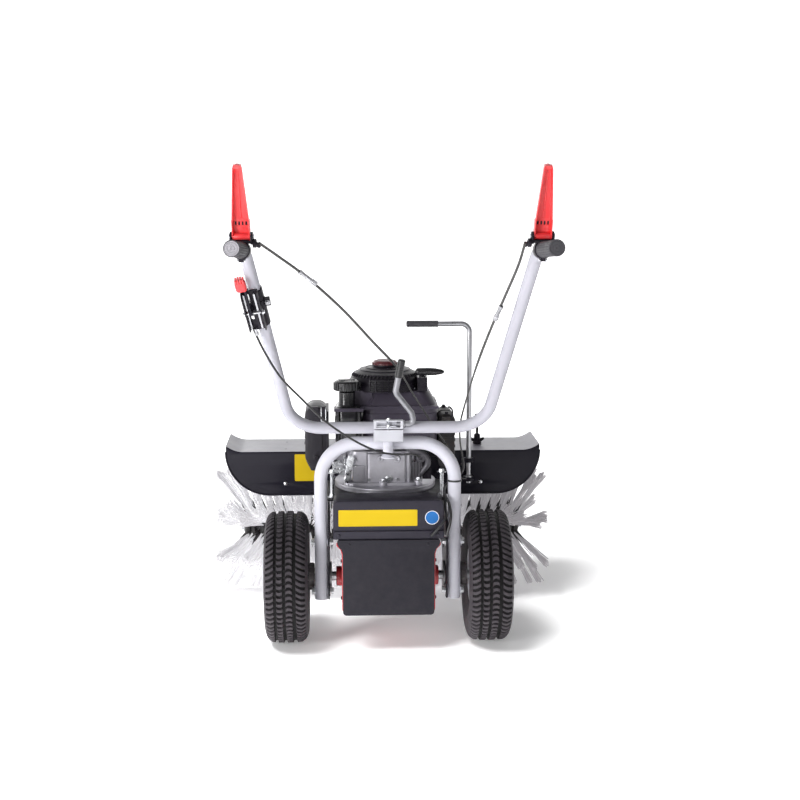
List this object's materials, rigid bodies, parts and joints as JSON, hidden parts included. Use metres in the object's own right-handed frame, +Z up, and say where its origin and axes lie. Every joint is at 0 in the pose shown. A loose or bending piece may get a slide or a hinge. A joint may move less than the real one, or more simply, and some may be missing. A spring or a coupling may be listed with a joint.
{
  "type": "power brush sweeper",
  "caption": "Walk-behind powered sweeper with a wide front roller brush under a hood, an engine over two driven tyres, and a tilting handlebar with clutch levers.",
  "frame": {"origin": "on the floor under the middle of the overall box", "axes": "+X to the operator's right, +Y forward towards the brush, +Z up"},
  "size_m": [0.964, 1.206, 1.2427],
  "materials": {
    "frame_grey": "satin",
    "black_paint": "satin",
    "red_paint": "satin",
    "zinc": "satin",
    "bronze": "satin",
    "belt_rubber": "matte",
    "engine_alu": "satin",
    "engine_black": "matte",
    "red_plastic": "gloss",
    "exhaust_steel": "matte",
    "tyre_rubber": "matte",
    "rim_grey": "satin",
    "pulley_iron": "satin",
    "core_black": "matte",
    "bristle_white": "matte",
    "grip_rubber": "matte",
    "cable_black": "satin"
  },
  "bodies": {
    "chassis": {"main_frame": "frame_grey", "chassis_bolts": "zinc", "side_cheeks": "black_paint", "axle_bearings": "zinc", "gearbox_left": "red_paint", "gearbox_right": "red_paint", "belt_cover": "black_paint", "gearbox_guard": "black_paint", "engine_deck": "black_paint", "swivel_bearing": "bronze", "drive_belt": "belt_rubber", "brush_belt": "belt_rubber", "crankcase": "engine_alu", "engine_shroud": "engine_black", "recoil_cover": "engine_black", "recoil_cap": "red_plastic", "fuel_tank": "engine_black", "air_filter": "engine_black", "carburettor": "engine_alu", "muffler": "exhaust_steel", "clamp_saddle": "frame_grey", "clamp_cap": "frame_grey", "clamp_fasteners": "zinc", "control_cables": "cable_black", "cable_fittings": "zinc"},
    "crank": {"crankshaft": "zinc", "engine_pulley": "pulley_iron"},
    "fuel_cap": {"fuel_cap": "engine_black"},
    "starter_handle": {"starter_handle": "engine_black"},
    "drive_axle": {"axle_shaft": "zinc", "ratchet_hubs": "pulley_iron"},
    "wheel_left": {"tyre_left": "tyre_rubber", "rim_left": "rim_grey"},
    "wheel_right": {"tyre_right": "tyre_rubber", "rim_right": "rim_grey"},
    "gearbox_input": {"gearbox_pulley": "pulley_iron"},
    "brush_head": {"brush_carrier": "black_paint", "brush_gearcase": "engine_alu", "hood": "frame_grey", "rear_skirt": "black_paint", "head_bolts": "zinc", "lever_guides": "black_paint", "screw_stud": "zinc"},
    "wing_screw": {"wing_screw": "engine_black"},
    "brush_input": {"brush_pulley": "pulley_iron"},
    "brush": {"brush_shaft": "zinc", "brush_cores": "core_black", "bristles": "bristle_white"},
    "lock_lever": {"lock_lever": "zinc", "lock_grip": "grip_rubber"},
    "clamp_lever": {"clamp_lever": "zinc", "clamp_grip": "grip_rubber"},
    "handlebar": {"handlebar": "frame_grey", "hand_grips": "grip_rubber", "lever_brackets": "engine_black", "lever_pins": "zinc", "throttle_bracket": "black_paint"},
    "clutch_lever_left": {"clutch_lever_left": "red_plastic"},
    "clutch_lever_right": {"clutch_lever_right": "red_plastic"},
    "throttle_lever": {"throttle_lever": "red_plastic"}
  },
  "joints": [
    {"name": "axle_turn", "type": "hinge", "parent": "chassis", "child": "drive_axle", "pos_m": [0, -0.06298, 0.172], "axis": [1, 0, 0], "continuous": true},
    {"name": "wheel_left_turn", "type": "hinge", "parent": "drive_axle", "child": "wheel_left", "pos_m": [-0.259, -0.06298, 0.172], "axis": [1, 0, 0], "continuous": true},
    {"name": "wheel_right_turn", "type": "hinge", "parent": "drive_axle", "child": "wheel_right", "pos_m": [0.259, -0.06298, 0.172], "axis": [1, 0, 0], "continuous": true},
    {"name": "gearbox_input_turn", "type": "hinge", "parent": "chassis", "child": "gearbox_input", "pos_m": [0, -0.11698, 0.3], "axis": [0, 0, 1], "continuous": true},
    {"name": "crank_turn", "type": "hinge", "parent": "chassis", "child": "crank", "pos_m": [0, 0.10702, 0.315], "axis": [0, 0, 1], "continuous": true},
    {"name": "brush_swivel", "type": "hinge", "parent": "chassis", "child": "brush_head", "pos_m": [0, 0.26702, 0.379], "axis": [0, 0, 1], "range_deg": [-15, 15]},
    {"name": "brush_turn", "type": "hinge", "parent": "brush_head", "child": "brush", "pos_m": [0, 0.41702, 0.186], "axis": [1, 0, 0], "continuous": true},
    {"name": "brush_input_turn", "type": "hinge", "parent": "brush_head", "child": "brush_input", "pos_m": [0, 0.26702, 0.333], "axis": [0, 0, 1], "continuous": true},
    {"name": "lock_turn", "type": "hinge", "parent": "brush_head", "child": "lock_lever", "pos_m": [0.24, 0.24202, 0.387], "axis": [0, 0, 1], "range_deg": [0, 90]},
    {"name": "wing_screw_turn", "type": "hinge", "parent": "brush_head", "child": "wing_screw", "pos_m": [0.274, 0.35202, 0.456], "axis": [0, 0, 1], "continuous": true},
    {"name": "handlebar_tilt", "type": "hinge", "parent": "chassis", "child": "handlebar", "pos_m": [0, -0.14698, 0.583], "axis": [1, 0, 0], "range_deg": [-20, 20], "deforming": ["control_cables", "cable_fittings"]},
    {"name": "clutch_left", "type": "hinge", "parent": "handlebar", "child": "clutch_lever_left", "pos_m": [-0.34042, -0.45807, 1.07955], "axis": [0.9962, -0.0872, 0], "range_deg": [0, 56], "stiffness_Nm_per_rad": 1.5, "springref_deg": -22.92},
    {"name": "clutch_right", "type": "hinge", "parent": "handlebar", "child": "clutch_lever_right", "pos_m": [0.34042, -0.45807, 1.07955], "axis": [0.9962, 0.0872, 0], "range_deg": [0, 56], "stiffness_Nm_per_rad": 1.5, "springref_deg": -22.92},
    {"name": "throttle_turn", "type": "hinge", "parent": "handlebar", "child": "throttle_lever", "pos_m": [-0.32708, -0.3649, 0.89598], "axis": [0.9851, -0.0872, 0.1481], "range_deg": [0, 40]},
    {"name": "clamp_turn", "type": "hinge", "parent": "chassis", "child": "clamp_lever", "pos_m": [0.028, -0.16898, 0.596], "axis": [1, 0, 0], "range_deg": [0, 80]},
    {"name": "fuel_cap_turn", "type": "hinge", "parent": "chassis", "child": "fuel_cap", "pos_m": [-0.103, 0.02102, 0.665], "axis": [0, 0, 1], "range_deg": [0, 90]},
    {"name": "starter_pull", "type": "slide", "parent": "chassis", "child": "starter_handle", "axis": [0, -0.8, 0.6], "range_m": [0, 0.5], "stiffness_N_per_m": 12, "springref_m": -0.4}
  ],
  "couplings": [
    {"joint": "gearbox_input_turn", "follows": "axle_turn", "ratio": 20},
    {"joint": "brush_input_turn", "follows": "brush_turn", "ratio": 3.5}
  ]
}
